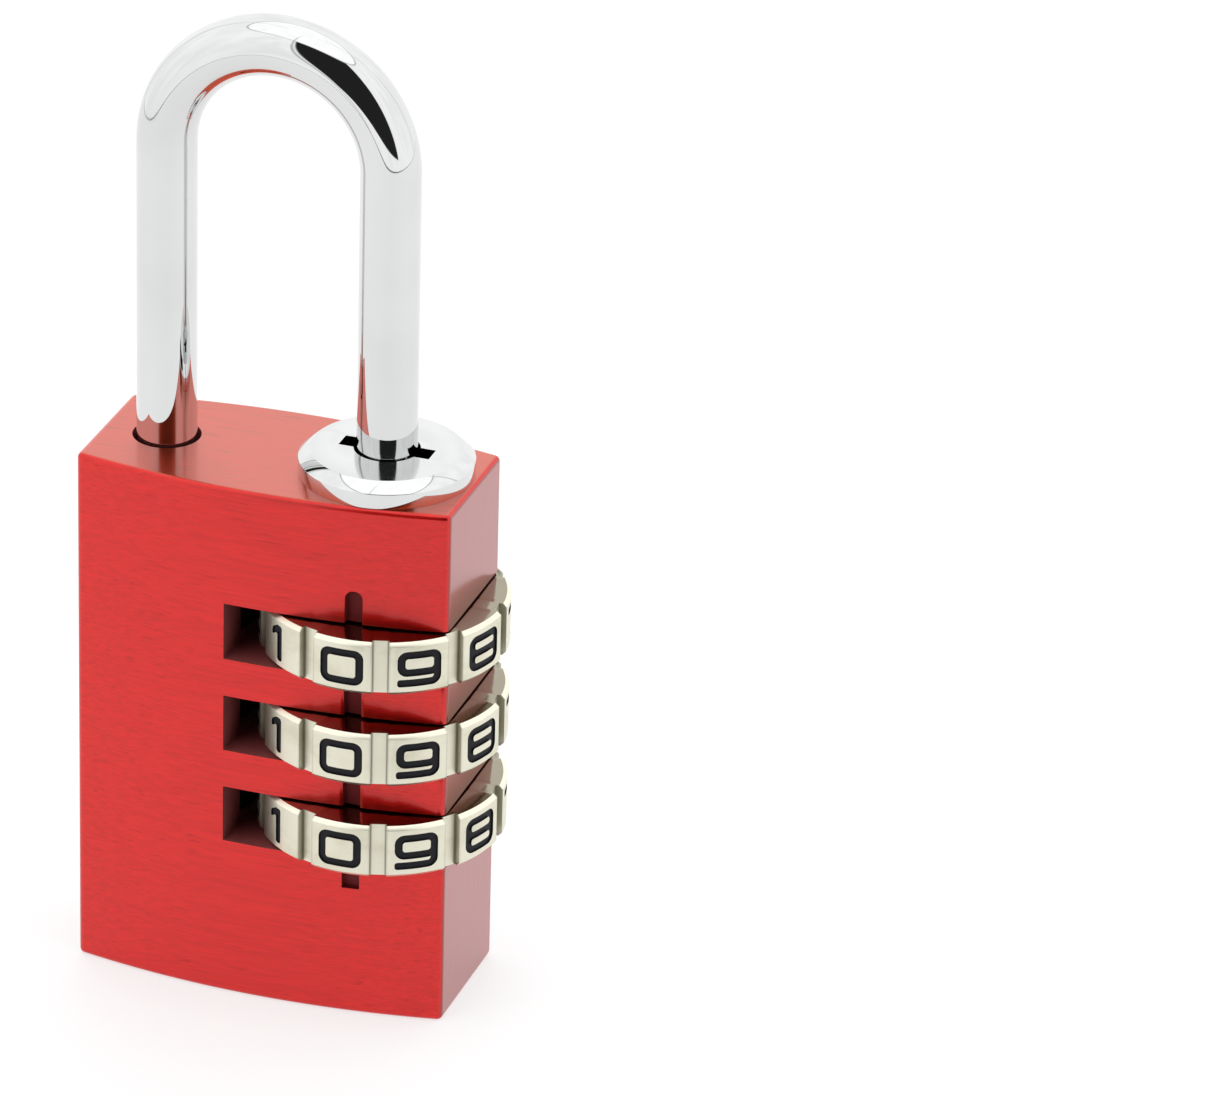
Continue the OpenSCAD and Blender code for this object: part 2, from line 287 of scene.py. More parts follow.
class Value:
    """A socket of a node tree. Arithmetic on it adds Math nodes."""

    def __init__(self, tree, socket):
        self.tree = tree
        self.socket = socket

    def math(self, operation, *others):
        """A Math node on this value and others"""
        return add_node(self.tree, "ShaderNodeMath", {"operation": operation}, dict(enumerate((self, *others))))

    def __add__(self, other):
        return self.math("ADD", other)

    __radd__ = __add__

    def __sub__(self, other):
        return self.math("SUBTRACT", other)

    def __rsub__(self, other):
        return self * -1 + other

    def __mul__(self, other):
        return self.math("MULTIPLY", other)

    __rmul__ = __mul__

    def __abs__(self):
        return self.math("ABSOLUTE")

    def smooth(self, low, high):
        """0 below low, 1 above high, and a smooth step between them"""
        return add_node(
            self.tree, "ShaderNodeMapRange", {"interpolation_type": "SMOOTHSTEP"},
            {"Value": self, "From Min": low, "From Max": high})


def add_node(tree, kind, settings=None, inputs=None, output=0):
    """Adds a node with its settings and the values or links of its inputs, and returns one output"""
    node = tree.nodes.new(kind)
    for name, value in (settings or {}).items():
        setattr(node, name, value)
    for name, value in (inputs or {}).items():
        if isinstance(value, Value):
            tree.links.new(value.socket, node.inputs[name])
        else:
            node.inputs[name].default_value = value
    return Value(tree, node.outputs[output])


def mix_colour(tree, factor, first, second, blend="MIX"):
    """A Mix node on two colours"""
    node = tree.nodes.new("ShaderNodeMix")
    node.data_type = "RGBA"
    node.blend_type = blend
    for name, value in (("Factor_Float", factor), ("A_Color", first), ("B_Color", second)):
        socket = next(s for s in node.inputs if s.identifier == name)
        if isinstance(value, Value):
            tree.links.new(value.socket, socket)
        else:
            socket.default_value = (*value, 1) if len(value) == 3 else value
    return Value(tree, next(s for s in node.outputs if s.identifier == "Result_Color"))


def object_point(tree):
    """Object coordinates"""
    return add_node(tree, "ShaderNodeTexCoord", output="Object")


def axes(tree, vector, wanted):
    """The wanted axes of a vector, one value each"""
    split = tree.nodes.new("ShaderNodeSeparateXYZ")
    tree.links.new(vector.socket, split.inputs[0])
    return [Value(tree, split.outputs[axis]) for axis in wanted]


def surface_normal(tree):
    """The surface's normal"""
    return add_node(tree, "ShaderNodeNewGeometry", output="Normal")


def moved(tree, point, x, y):
    """A point moved sideways"""
    return add_node(
        tree, "ShaderNodeMapping", {"vector_type": "POINT"}, {"Vector": point, "Location": (x, y, 0)})


def length(x, y):
    """Distance from the upright axis"""
    return (x * x + y * y).math("SQRT")


def between(value, low, high, soft):
    """1 from low to high, 0 outside, with soft edges"""
    return value.smooth(low - soft, low + soft) * (1 - value.smooth(high - soft, high + soft))


def is_camera_ray(tree):
    """1 where the camera looks straight at a surface, and 0 in reflections"""
    return add_node(tree, "ShaderNodeLightPath", output="Is Camera Ray")


def noise(tree, point, scale, size=1.0, detail=2.0, roughness=0.5):
    """Noise stretched by a scale for each axis"""
    stretched = add_node(
        tree, "ShaderNodeMapping", {"vector_type": "POINT"}, {"Vector": point, "Scale": scale})
    return add_node(
        tree, "ShaderNodeTexNoise", {"noise_dimensions": "3D"},
        {"Vector": stretched, "Scale": size, "Detail": detail, "Roughness": roughness})


def turning_lines(tree, point, scale):
    """Fine rings about the dial axis"""
    radius = length(*axes(tree, moved(tree, point, -DIAL_X, 0), "XY"))
    return add_node(tree, "ShaderNodeTexNoise", {"noise_dimensions": "1D"}, {"W": radius, "Scale": scale})


def new_material(name):
    """An empty material and its Principled shader"""
    material = bpy.data.materials.new(name)
    material.use_nodes = True
    tree = material.node_tree
    tree.nodes.clear()
    shader = tree.nodes.new("ShaderNodeBsdfPrincipled")
    out = tree.nodes.new("ShaderNodeOutputMaterial")
    tree.links.new(shader.outputs[0], out.inputs["Surface"])
    return material, tree, shader


def dress(tree, shader, **inputs):
    """Sets or links the shader's inputs, named with _ for a space"""
    for name, value in inputs.items():
        socket = shader.inputs[name.replace("_", " ")]
        if isinstance(value, Value):
            tree.links.new(value.socket, socket)
        elif hasattr(value, "__len__") and len(value) == 3 and socket.type == "RGBA":
            socket.default_value = (*value, 1)
        else:
            socket.default_value = value


def tinted(colour, tint):
    """A colour times a tint"""
    return [c * t for c, t in zip(colour, tint)]


def bump(tree, height, strength, distance):
    """A Bump node"""
    return add_node(
        tree, "ShaderNodeBump", None, {"Height": height, "Strength": strength, "Distance": distance})


def anodised(name, colour):
    """Brushed and anodised metal: lines along X on the front, back and ends, and along Z on the sides; painted
    shade on the sides, and a painted warm reflection with a little painted shade on the ends
    """
    material, tree, shader = new_material(name)
    point = object_point(tree)
    facing_x, facing_z = axes(tree, surface_normal(tree), "XZ")
    side = abs(facing_x).smooth(0.75, 0.85)
    end = abs(facing_z).smooth(0.9, 0.98)
    fine = noise(tree, point, (260, 10000, 10000), detail=3.0, roughness=0.65)
    fine = fine + side * (noise(tree, point, (10000, 10000, 240), detail=3.0, roughness=0.65) - fine)
    broad = noise(tree, point, (90, 2600, 2600), detail=3.0, roughness=0.6)
    broad = broad + side * (noise(tree, point, (2600, 2600, 90), detail=3.0, roughness=0.6) - broad)
    scratch = noise(tree, point, (420, 8000, 8000), detail=1.0)
    scratch = scratch + side * (noise(tree, point, (8000, 8000, 420), detail=1.0) - scratch)
    scratch = scratch.smooth(0.66, 0.74)
    lines = fine * 0.75 + broad * 0.25
    tone = mix_colour(
        tree, lines.smooth(0.3, 0.7), [c * 0.86 for c in colour], [min(1.0, c * 1.11) for c in colour])
    tone = mix_colour(tree, scratch * (0.35 + end * 0.4), tone, [c * 0.45 for c in colour])
    # Painted shade: the sides, which face along X, are darkened halfway towards near-black
    tone = mix_colour(tree, side * 0.5, tone, (0.02, 0.012, 0.01))
    # Painted warm reflection and painted shade: the top and bottom are tinted towards a dark orange
    tone = mix_colour(tree, end * 0.2, tone, (0.30, 0.20, 0.0))
    dress(
        tree, shader, Base_Color=tone, Metallic=1.0, Roughness=0.30 + lines * 0.2,
        Coat_Weight=0.6 + (side + end) * 0.4, Coat_Roughness=0.15, Coat_IOR=1.6,
        Normal=bump(tree, lines - scratch * 0.5, 0.25, 0.02 * MM))
    return material


def chrome(name, colour, turned_top=0.0):
    """Mirror plating with faint rubbing and specks, and lines turned about the dial axis on the flat top"""
    material, tree, shader = new_material(name)
    point = object_point(tree)
    rub = noise(tree, point, (160, 160, 160), detail=3.0)
    hair = noise(tree, point, (5000, 5000, 400), detail=2.0)
    facing_up, = axes(tree, surface_normal(tree), "Z")
    top = facing_up.smooth(0.97, 0.99) * turned_top
    rings = turning_lines(tree, point, 7000.0)
    dress(
        tree, shader, Base_Color=mix_colour(tree, rub.smooth(0.35, 0.75), colour, [c * 0.94 for c in colour]),
        Metallic=1.0,
        Roughness=(
            0.025 + rub.smooth(0.5, 0.8) * 0.03 + hair.smooth(0.62, 0.75) * 0.03 + top * (0.05 + rings * 0.08)),
        Normal=bump(tree, rub + top * rings * 2, 0.03, 0.05 * MM))
    return material


def satin_nickel(name, colour, step, groove_width, groove_floor):
    """Plated pads and grooves: a fine grain, staining, a painted highlight on the chamfers, and painted shade
    along the groove walls, deepest at their feet
    """
    material, tree, shader = new_material(name)
    point = object_point(tree)
    grain = noise(tree, point, (9000, 9000, 9000), detail=2.0)
    lines = noise(tree, point, (500, 500, 9000), detail=2.0)
    stain = noise(tree, point, (450, 450, 700), detail=4.0, roughness=0.6)
    tone = mix_colour(tree, stain.smooth(0.42, 0.78), colour, tinted(colour, (0.86, 0.85, 0.80)))
    facing_z, = axes(tree, surface_normal(tree), "Z")
    tilt = abs(facing_z)
    # Painted highlight: faces that tilt up or down, the rim chamfers and their rounded edges, are lightened
    tone = mix_colour(tree, tilt.smooth(0.35, 0.6) * 0.8, tone, [min(1.0, c * 1.2) for c in colour])
    x, y = axes(tree, moved(tree, point, -DIAL_X, 0), "XY")
    radius = length(x, y)
    turn = y.math("ARCTAN2", x) * (1 / step) + 0.5
    across = abs(turn.math("FRACT") - 0.5) * step * DIAL_RADIUS
    wall = 1 - abs(across - groove_width / 2).smooth(0.02 * MM, 0.11 * MM)
    foot = 1 - radius.smooth(groove_floor + 0.1 * MM, groove_floor + 0.4 * MM)
    # Painted shade: the groove walls are darkened, most near the groove floor
    tone = mix_colour(tree, wall * (0.25 + foot * 0.45), tone, [c * 0.22 for c in colour])
    dress(
        tree, shader, Base_Color=tone, Metallic=1.0, Roughness=0.32 + grain * 0.1 + stain * 0.06 - tilt * 0.1,
        Normal=bump(tree, grain * 0.5 + lines * 0.5, 0.18, 0.01 * MM))
    return material


def polished_nickel(name, colour):
    """The dials' flat faces: lapped nearly to a mirror, with turning lines about the dial axis"""
    material, tree, shader = new_material(name)
    point = object_point(tree)
    rings = turning_lines(tree, point, 9000.0)
    smear = noise(tree, point, (300, 300, 300), detail=3.0)
    dress(
        tree, shader, Base_Color=mix_colour(tree, smear, colour, [c * 0.8 for c in colour]), Metallic=1.0,
        Roughness=0.07 + smear * 0.06 + rings * 0.03, Normal=bump(tree, rings, 0.04, 0.005 * MM))
    return material


def paint(name, colour, roughness=0.38, shine=0.5):
    """Filled-in paint, a little uneven; also the dark red of the index line and the painted shade on the walls
    of the slots and holes
    """
    material, tree, shader = new_material(name)
    uneven = noise(tree, object_point(tree), (4000, 4000, 4000), detail=3.0)
    dress(
        tree, shader, Base_Color=mix_colour(tree, uneven, colour, [c * 1.9 + 0.004 for c in colour]),
        Roughness=roughness + uneven * 0.15, Specular_IOR_Level=shine,
        Normal=bump(tree, uneven, 0.2, 0.01 * MM))
    return material


def machined(name, colour, roughness, turning):
    """Turned or drawn metal with lines round the dial axis, and a little tarnish"""
    material, tree, shader = new_material(name)
    point = object_point(tree)
    lines = noise(tree, point, (300, 300, turning), detail=2.0)
    tarnish = noise(tree, point, (600, 600, 600), detail=4.0, roughness=0.6)
    dress(
        tree, shader,
        Base_Color=mix_colour(tree, tarnish.smooth(0.4, 0.8), colour, [c * 0.6 for c in colour]),
        Metallic=1.0, Roughness=roughness + lines * 0.15 + tarnish * 0.1,
        Normal=bump(tree, lines, 0.3, 0.01 * MM))
    return material


def set_normals(mesh, angle=32):
    """Smooth shading with sharp edges over an angle in degrees"""
    mesh.polygons.foreach_set("use_smooth", [True] * len(mesh.polygons))
    mesh.set_sharp_from_angle(angle=math.radians(angle))


def make_object(name, bm, *materials):
    """An object at the origin from a bmesh, which is freed"""
    bmesh.ops.recalc_face_normals(bm, faces=bm.faces)
    if bm.calc_volume(signed=True) < 0:
        bmesh.ops.reverse_faces(bm, faces=bm.faces)
    mesh = bpy.data.meshes.new(name)
    bm.to_mesh(mesh)
    bm.free()
    for material in materials:
        mesh.materials.append(material)
    obj = bpy.data.objects.new(name, mesh)
    bpy.context.scene.collection.objects.link(obj)
    return obj


def take_shape(obj, cutters, operation="DIFFERENCE"):
    """Cuts or joins these objects, one after the other, and removes them"""
    for cutter in cutters:
        modifier = obj.modifiers.new("shape", "BOOLEAN")
        modifier.object = cutter
        modifier.operation = operation
        modifier.solver = "EXACT"
        modifier.material_mode = "TRANSFER"
        bpy.context.view_layer.update()
        shaped = bpy.data.meshes.new_from_object(obj.evaluated_get(bpy.context.evaluated_depsgraph_get()))
        obj.modifiers.remove(modifier)
        old = obj.data
        obj.data = shaped
        shaped.name = obj.name
        bpy.data.meshes.remove(old)
        bpy.data.meshes.remove(cutter.data)


def round_edges(obj, width, segments, angle=35):
    """Rounds the edges over an angle in degrees"""
    bm = bmesh.new()
    bm.from_mesh(obj.data)
    bmesh.ops.remove_doubles(bm, verts=bm.verts, dist=0.002 * MM)
    sharp = [e for e in bm.edges if e.is_manifold and e.calc_face_angle(0) > math.radians(angle)]
    bmesh.ops.bevel(
        bm, geom=sharp, offset=width, offset_type="OFFSET", segments=segments, profile=0.5,
        affect="EDGES", clamp_overlap=True, material=-1)
    bm.to_mesh(obj.data)
    bm.free()


def finish_shading(obj, angle=32):
    """Sharp edges, and normals that keep flat faces flat"""
    set_normals(obj.data, angle)
    weighted = obj.modifiers.new("flat faces", "WEIGHTED_NORMAL")
    weighted.keep_sharp = True
    weighted.weight = 50


def block(name, low, high, *materials):
    """A box between two corners"""
    bm = bmesh.new()
    low, high = Vector(low), Vector(high)
    size = high - low
    matrix = Matrix.Translation((low + high) / 2) @ Matrix.Diagonal((*size, 1))
    bmesh.ops.create_cube(bm, size=1, matrix=matrix)
    return make_object(name, bm, *materials)


def round_bar(name, centre, radius, low, high, steps, *materials):
    """An upright cylinder"""
    bm = bmesh.new()
    bmesh.ops.create_cone(
        bm, cap_ends=True, segments=steps, radius1=radius, radius2=radius, depth=high - low,
        matrix=Matrix.Translation((centre[0], centre[1], (low + high) / 2)))
    return make_object(name, bm, *materials)


def turned(name, x, profile, steps, *materials):
    """A solid turned about an upright axis from a closed profile of radii and heights"""
    bm = bmesh.new()
    verts = [bm.verts.new((x + r, 0, z)) for r, z in profile]
    edges = [bm.edges.new(pair) for pair in zip(verts, verts[1:] + verts[:1])]
    bmesh.ops.spin(
        bm, geom=verts + edges, cent=(x, 0, 0), axis=(0, 0, 1), angle=math.tau, steps=steps, use_merge=True)
    bmesh.ops.remove_doubles(bm, verts=bm.verts, dist=WELD)
    return make_object(name, bm, *materials)


def crown_radius(half_width, half_side, half_middle):
    """Radius of an arc that is half_middle out at the centre and half_side out at half_width"""
    rise = half_middle - half_side
    return (half_width ** 2 + rise ** 2) / (2 * rise)


class PADLOCK_OT_body(Operator):
    """Make the red body with its slots, holes and index line"""
    bl_idname = "padlock.make_body"
    bl_label = "Body"

    def execute(self, context):
        size = context.scene.padlock_body
        finish = context.scene.padlock_finishes
        red = anodised("anodised_red", finish.red)
        # Painted shade: the walls of the slots, bore, keyway, pockets and toe hole get a dark red
        recess_shade = paint("recess_painted_shade", (0.15, 0.03, 0.03), 0.5)
        # The index line's groove is coloured a very dark red
        index_dark_red = paint("index_dark_red", (0.11, 0.004, 0.005), 0.6, 0.3)
        half_width = (BODY_HIGH.x - BODY_LOW.x) / 2
        half_middle = (BODY_HIGH.y - BODY_LOW.y) / 2
        top = BODY_HIGH.z
        radius = crown_radius(half_width, size.side_thickness / 2, half_middle)
        swing = 2 * math.asin(half_width / radius)
        bm = bmesh.new()
        for turn in (-1, 1):
            start = bm.verts.new((turn * half_width, turn * size.side_thickness / 2, 0))
            centre = (0, turn * (half_middle - radius), 0)
            bmesh.ops.spin(bm, geom=[start], cent=centre, axis=(0, 0, 1), angle=swing, steps=48)
        bmesh.ops.remove_doubles(bm, verts=bm.verts, dist=WELD)
        ends = [v for v in bm.verts if len(v.link_edges) == 1]
        for x in (-half_width, half_width):
            bm.edges.new([v for v in ends if abs(v.co.x - x) < NEAR])
        face = bmesh.ops.contextual_create(bm, geom=bm.edges)["faces"]
        raised = bmesh.ops.extrude_face_region(bm, geom=face)["geom"]
        bmesh.ops.translate(
            bm, verts=[v for v in raised if isinstance(v, bmesh.types.BMVert)], vec=(0, 0, top))
        bmesh.ops.recalc_face_normals(bm, faces=bm.faces)
        corners = [e for e in bm.edges if e.calc_face_angle(0) > math.radians(30)]
        bmesh.ops.bevel(
            bm, geom=corners, offset=size.edge_radius, offset_type="OFFSET", segments=4, profile=0.5,
            affect="EDGES", clamp_overlap=True, material=-1)
        body = make_object("padlock_body", bm, red)

        cutters = []
        for z in DIAL_HEIGHTS:
            half = size.slot_height / 2
            cutters.append(block("slot", (size.slot_end, -OUT, z - half), (OUT, OUT, z + half), recess_shade))
        cutters.append(round_bar(
            "bore", (DIAL_X, 0), size.bore_radius, size.bore_floor, top + OUT, HOLE_STEPS, recess_shade))
        keyway_low = DIAL_HEIGHTS[2] - DIAL_THICKNESS / 2
        cutters.append(block(
            "keyway", (DIAL_X - size.keyway_reach, -size.keyway_width / 2, keyway_low),
            (DIAL_X, size.keyway_width / 2, top + OUT), recess_shade))
        for z in DIAL_HEIGHTS:
            cutters.append(block(
                "pocket",
                (size.slot_end - size.pocket_depth, -size.pocket_width / 2, z - size.pocket_height / 2),
                (size.slot_end + size.pocket_depth, size.pocket_width / 2, z + size.pocket_height / 2), recess_shade))
        toe_x = SHACKLE_LOW.x + context.scene.padlock_shackle.rod_radius
        cutters.append(round_bar(
            "toe hole", (toe_x, 0), size.toe_radius, size.toe_floor, top + OUT, HOLE_STEPS, recess_shade))
        floor_y = -(half_middle - radius + math.sqrt(radius ** 2 - DIAL_X ** 2)) + size.index_depth
        half = size.index_width / 2
        line = bmesh.new()
        bmesh.ops.create_cube(line, size=1, matrix=Matrix.Translation(
            (DIAL_X, floor_y - OUT / 2, (size.index_low + size.index_high) / 2)
        ) @ Matrix.Diagonal((size.index_width, OUT, size.index_high - size.index_low, 1)))
        crest = [
            e for e in line.edges
            if all(v.co.z > size.index_high - 0.1 * MM for v in e.verts)
            and abs(e.verts[0].co.x - e.verts[1].co.x) < NEAR]
        bmesh.ops.bevel(
            line, geom=crest, offset=half * INDEX_ROUNDING, offset_type="OFFSET", segments=8, profile=0.5,
            affect="EDGES", clamp_overlap=True, material=-1)
        cutters.append(make_object("index", line, index_dark_red))
        take_shape(body, cutters)
        round_edges(body, size.slot_edge, 2)
        finish_shading(body)
        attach(body, "lock_body")
        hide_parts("body")
        return {"FINISHED"}


class PADLOCK_OT_shackle(Operator):
    """Make the bent chrome rod with its toe and lugs"""
    bl_idname = "padlock.make_shackle"
    bl_label = "Shackle"

    def execute(self, context):
        size = context.scene.padlock_shackle
        plating = chrome("shackle_chrome", context.scene.padlock_finishes.chrome)
        toe_x = SHACKLE_LOW.x + size.rod_radius
        arch_radius = (DIAL_X - toe_x) / 2
        arch_x = (DIAL_X + toe_x) / 2
        arch_z = SHACKLE_HIGH.z - size.rod_radius - arch_radius
        steps = size.round_steps
        bm = bmesh.new()
        ring = bmesh.ops.create_circle(
            bm, cap_ends=False, segments=steps, radius=size.rod_radius,
            matrix=Matrix.Translation((DIAL_X, 0, arch_z)))["verts"]
        rim = list({e for v in ring for e in v.link_edges})
        bmesh.ops.spin(
            bm, geom=ring + rim, cent=(arch_x, 0, arch_z), axis=(0, -1, 0), angle=math.pi, steps=steps)
        bmesh.ops.remove_doubles(bm, verts=bm.verts, dist=WELD)
        heel_foot = SHACKLE_LOW.z
        chamfer = size.end_chamfer
        rod = size.rod_radius
        # Each stretch of a leg: its lower end's height and radius
        legs = {
            DIAL_X: [(HEEL_RING, rod), (heel_foot + chamfer, rod), (heel_foot, rod - chamfer)],
            toe_x: [
                (size.toe_step, rod), (size.toe_step, size.toe_radius),
                (size.toe_foot + chamfer, size.toe_radius), (size.toe_foot, size.toe_radius - chamfer)],
        }
        for x, stretches in legs.items():
            edges = [
                e for e in bm.edges
                if e.is_boundary and all(abs(v.co.x - x) < 2 * rod for v in e.verts)]
            radius = rod
            for low, new_radius in stretches:
                made = bmesh.ops.extrude_edge_only(bm, edges=edges)["geom"]
                verts = [g for g in made if isinstance(g, bmesh.types.BMVert)]
                edges = [g for g in made if isinstance(g, bmesh.types.BMEdge)]
                high = verts[0].co.z
                bmesh.ops.translate(bm, verts=verts, vec=(0, 0, low - high))
                share = new_radius / radius
                bmesh.ops.scale(
                    bm, verts=verts, vec=(share, share, 1), space=Matrix.Translation((-x, 0, 0)))
                radius = new_radius
            bmesh.ops.contextual_create(bm, geom=edges)
        shackle = make_object("padlock_shackle", bm, plating)
        lugs = []
        reach = SHACKLE_HIGH.y
        for z in DIAL_HEIGHTS:
            lug_top = z - size.lug_drop
            lugs.append(block(
                "lug", (DIAL_X - size.lug_width / 2, 0, lug_top - size.lug_height),
                (DIAL_X + size.lug_width / 2, reach, lug_top), plating))
        take_shape(shackle, lugs, "UNION")
        finish_shading(shackle)
        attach(shackle, "shackle")
        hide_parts("shackle")
        return {"FINISHED"}


class PADLOCK_OT_bush(Operator):
    """Make the flanged bush that the long leg slides in"""
    bl_idname = "padlock.make_bush"
    bl_label = "Bush"

    def execute(self, context):
        size = context.scene.padlock_shackle
        body = context.scene.padlock_body
        plating = chrome("bush_chrome", context.scene.padlock_finishes.chrome, 1.0)
        foot, flange_top = BUSH_LOW.z, BUSH_HIGH.z
        seat = BODY_HIGH.z
        flange = BUSH_HIGH.x - DIAL_X
        profile = [
            (size.cavity_radius, foot), (body.bore_radius, foot), (body.bore_radius, seat), (flange, seat),
            (flange, flange_top - size.bevel_height), (flange - size.bevel_width, flange_top),
            (size.hole_radius, flange_top), (size.hole_radius, size.cavity_top),
            (size.cavity_radius, size.cavity_top)]
        bush = turned("padlock_bush", DIAL_X, profile, BUSH_STEPS, plating)
        half = size.notch_width / 2
        take_shape(bush, [block(
            "notch", (DIAL_X - size.notch_reach, -half, foot - 1 * MM),
            (DIAL_X + size.notch_reach, half, flange_top + 1 * MM), plating)])
        round_edges(bush, BUSH_EDGE, 2, angle=30)
        finish_shading(bush)
        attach(bush, "lock_body")
        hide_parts("shackle_bush")
        return {"FINISHED"}


def number_cutter(digit, size, material):
    """A cutter for one number, bent round its pad"""
    half_width, half_height, stroke = size.number_width / 2, size.number_height / 2, size.stroke
    waist = DIGIT_WAISTS.get(digit, 0) * MM
    columns = [-half_width, -half_width + stroke, half_width - stroke, half_width]
    if digit == 1:
        columns = [-FLAG_REACH - stroke / 2, -stroke / 2, stroke / 2, half_width]
    rows = [
        -half_height, -half_height + stroke, waist - stroke / 2, waist + stroke / 2,
        half_height - stroke, half_height]
    bm = bmesh.new()
    bmesh.ops.create_grid(bm, x_segments=3, y_segments=5, size=0.5)
    unlit = []
    for face in bm.faces:
        centre = face.calc_center_median()
        column, row = int((centre.x + 0.5) * 3), int((0.5 - centre.y) * 5)
        if DIGIT_ROWS[digit][row][column] != "#":
            unlit.append(face)
    lean = DIGIT_LEANS.get(digit, 0) * MM
    for vert in bm.verts:
        column, row = round((vert.co.x + 0.5) * 3), round((vert.co.y + 0.5) * 5)
        x, y = columns[column], rows[row]
        if row < 4:
            x -= lean * (rows[4] - y) / (rows[4] - rows[0])
        if digit == 1 and column == 0:
            y -= FLAG_DROP
        vert.co = (x, y, -size.engraving)
    bmesh.ops.delete(bm, geom=unlit, context="FACES")
    rounding = bm.verts.layers.float.new("rounding")
    for vert in bm.verts:
        if len(vert.link_faces) == 1:
            vert[rounding] = size.corner_radius
        elif len(vert.link_faces) == 3:
            vert[rounding] = size.corner_radius - INNER_TIGHTER * stroke
    inner = [e for e in bm.edges if len(e.link_faces) == 2]
    bmesh.ops.delete(bm, geom=bm.faces[:], context="FACES_ONLY")
    bmesh.ops.delete(bm, geom=inner, context="EDGES")
    straight = [
        v for v in bm.verts
        if (v.link_edges[0].other_vert(v).co - v.co).angle(v.link_edges[1].other_vert(v).co - v.co) > 3.1]
    bmesh.ops.dissolve_verts(bm, verts=straight)
    for corner in [v for v in bm.verts if v[rounding] > 0]:
        room = min(edge.calc_length() for edge in corner.link_edges)
        most = END_ROUNDING * stroke if room < END_LENGTH * stroke else CORNER_SHARE * room
        corner[rounding] = min(corner[rounding], most)
    for corner in [v for v in bm.verts if v[rounding] > 0]:
        bmesh.ops.bevel(
            bm, geom=[corner], offset=corner[rounding], offset_type="OFFSET", segments=6, profile=0.5,
            affect="VERTICES", clamp_overlap=False, material=-1)
    filled = bmesh.ops.triangle_fill(bm, use_beauty=True, edges=bm.edges[:])["geom"]
    faces = [g for g in filled if isinstance(g, bmesh.types.BMFace)]
    raised = bmesh.ops.extrude_face_region(bm, geom=faces)["geom"]
    bmesh.ops.translate(
        bm, verts=[g for g in raised if isinstance(g, bmesh.types.BMVert)], vec=(0, 0, 4 * size.engraving))
    strips = int(half_width / BEND_STEP)
    for i in range(-strips, strips + 1):
        bmesh.ops.bisect_plane(
            bm, geom=bm.verts[:] + bm.edges[:] + bm.faces[:], plane_co=(i * BEND_STEP, 0, 0),
            plane_no=(1, 0, 0))
    turn = -math.pi / 2 - digit * PAD_STEP
    for vert in bm.verts:
        angle = turn + vert.co.x / DIAL_RADIUS
        radius = DIAL_RADIUS + vert.co.z
        vert.co = (DIAL_X + radius * math.cos(angle), radius * math.sin(angle), vert.co.y)
    return make_object("number", bm, material)


class PADLOCK_OT_dials(Operator):
    """Make the three number dials"""
    bl_idname = "padlock.make_dials"
    bl_label = "Dials"

    def execute(self, context):
        size = context.scene.padlock_dials
        body = context.scene.padlock_body
        finish = context.scene.padlock_finishes
        satin = satin_nickel(
            "dial_satin_nickel", finish.nickel, PAD_STEP, size.groove_width, DIAL_RADIUS - size.groove_depth)
        polished = polished_nickel("dial_polished_nickel", tinted(finish.nickel, (0.5, 0.46, 0.42)))
        black = paint("number_paint", finish.paint, 0.45, 0.2)
        half = DIAL_THICKNESS / 2
        profile = [
            (body.keyway_reach, -half), (DIAL_RADIUS - size.rim_chamfer, -half),
            (DIAL_RADIUS, -half + size.rim_chamfer), (DIAL_RADIUS, half - size.rim_chamfer),
            (DIAL_RADIUS - size.rim_chamfer, half), (body.bore_radius, half),
            (body.bore_radius, COUNTERBORE_TOP), (body.keyway_reach, COUNTERBORE_TOP)]
        dial = turned("number_dial", DIAL_X, profile, DIAL_STEPS, satin, polished)
        cuts = bmesh.new()
        for i in range(DIGITS):
            turn = Matrix.Translation((DIAL_X, 0, 0)) @ Matrix.Rotation(i * PAD_STEP, 4, "Z")
            for low, high, width, foot, top in (
                (DIAL_RADIUS - size.groove_depth, DIAL_RADIUS + 1 * MM, size.groove_width, -2 * half, 2 * half),
                (body.bore_radius - 0.5 * MM, body.keyway_reach, body.keyway_width, 0, 2 * half),
            ):
                place = Matrix.Translation(((low + high) / 2, 0, (foot + top) / 2))
                shape = Matrix.Diagonal((high - low, width, top - foot, 1))
                bmesh.ops.create_cube(cuts, size=1, matrix=turn @ place @ shape)
        take_shape(dial, [make_object("grooves", cuts, satin)])
        round_edges(dial, size.edge_radius, 2, angle=28)
        for polygon in dial.data.polygons:
            if abs(polygon.normal.z) > 0.99:
                polygon.material_index = 1
        take_shape(dial, [number_cutter(digit, size, black) for digit in range(DIGITS)])
        set_normals(dial.data, 30)
        for name, z in zip(DIAL_NAMES, DIAL_HEIGHTS):
            mesh = dial.data.copy()
            mesh.transform(Matrix.Translation((0, 0, z)))
            piece = bpy.data.objects.new("number_dial_" + name, mesh)
            context.scene.collection.objects.link(piece)
            finish_shading(piece, 30)
            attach(piece, name + "_dial_set")
            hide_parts("dial_" + name)
        bpy.data.objects.remove(dial)
        return {"FINISHED"}


class PADLOCK_OT_inner_parts(Operator):
    """Give the sleeves, springs and washer their metals"""
    bl_idname = "padlock.finish_inner_parts"
    bl_label = "Inner parts"

    def execute(self, context):
        finish = context.scene.padlock_finishes
        brass = machined("sleeve_brass_turned", finish.brass, 0.22, 6000)
        steel = machined("spring_steel_dark", finish.steel, 0.3, 400)
        for name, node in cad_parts.items():
            if name.startswith("code_sleeve"):
                metal = brass
            elif name.startswith("detent_spring") or name in ("spring_washer", "reset_spring"):
                metal = steel
            else:
                continue
            node.data.materials.clear()
            node.data.materials.append(metal)
        return {"FINISHED"}


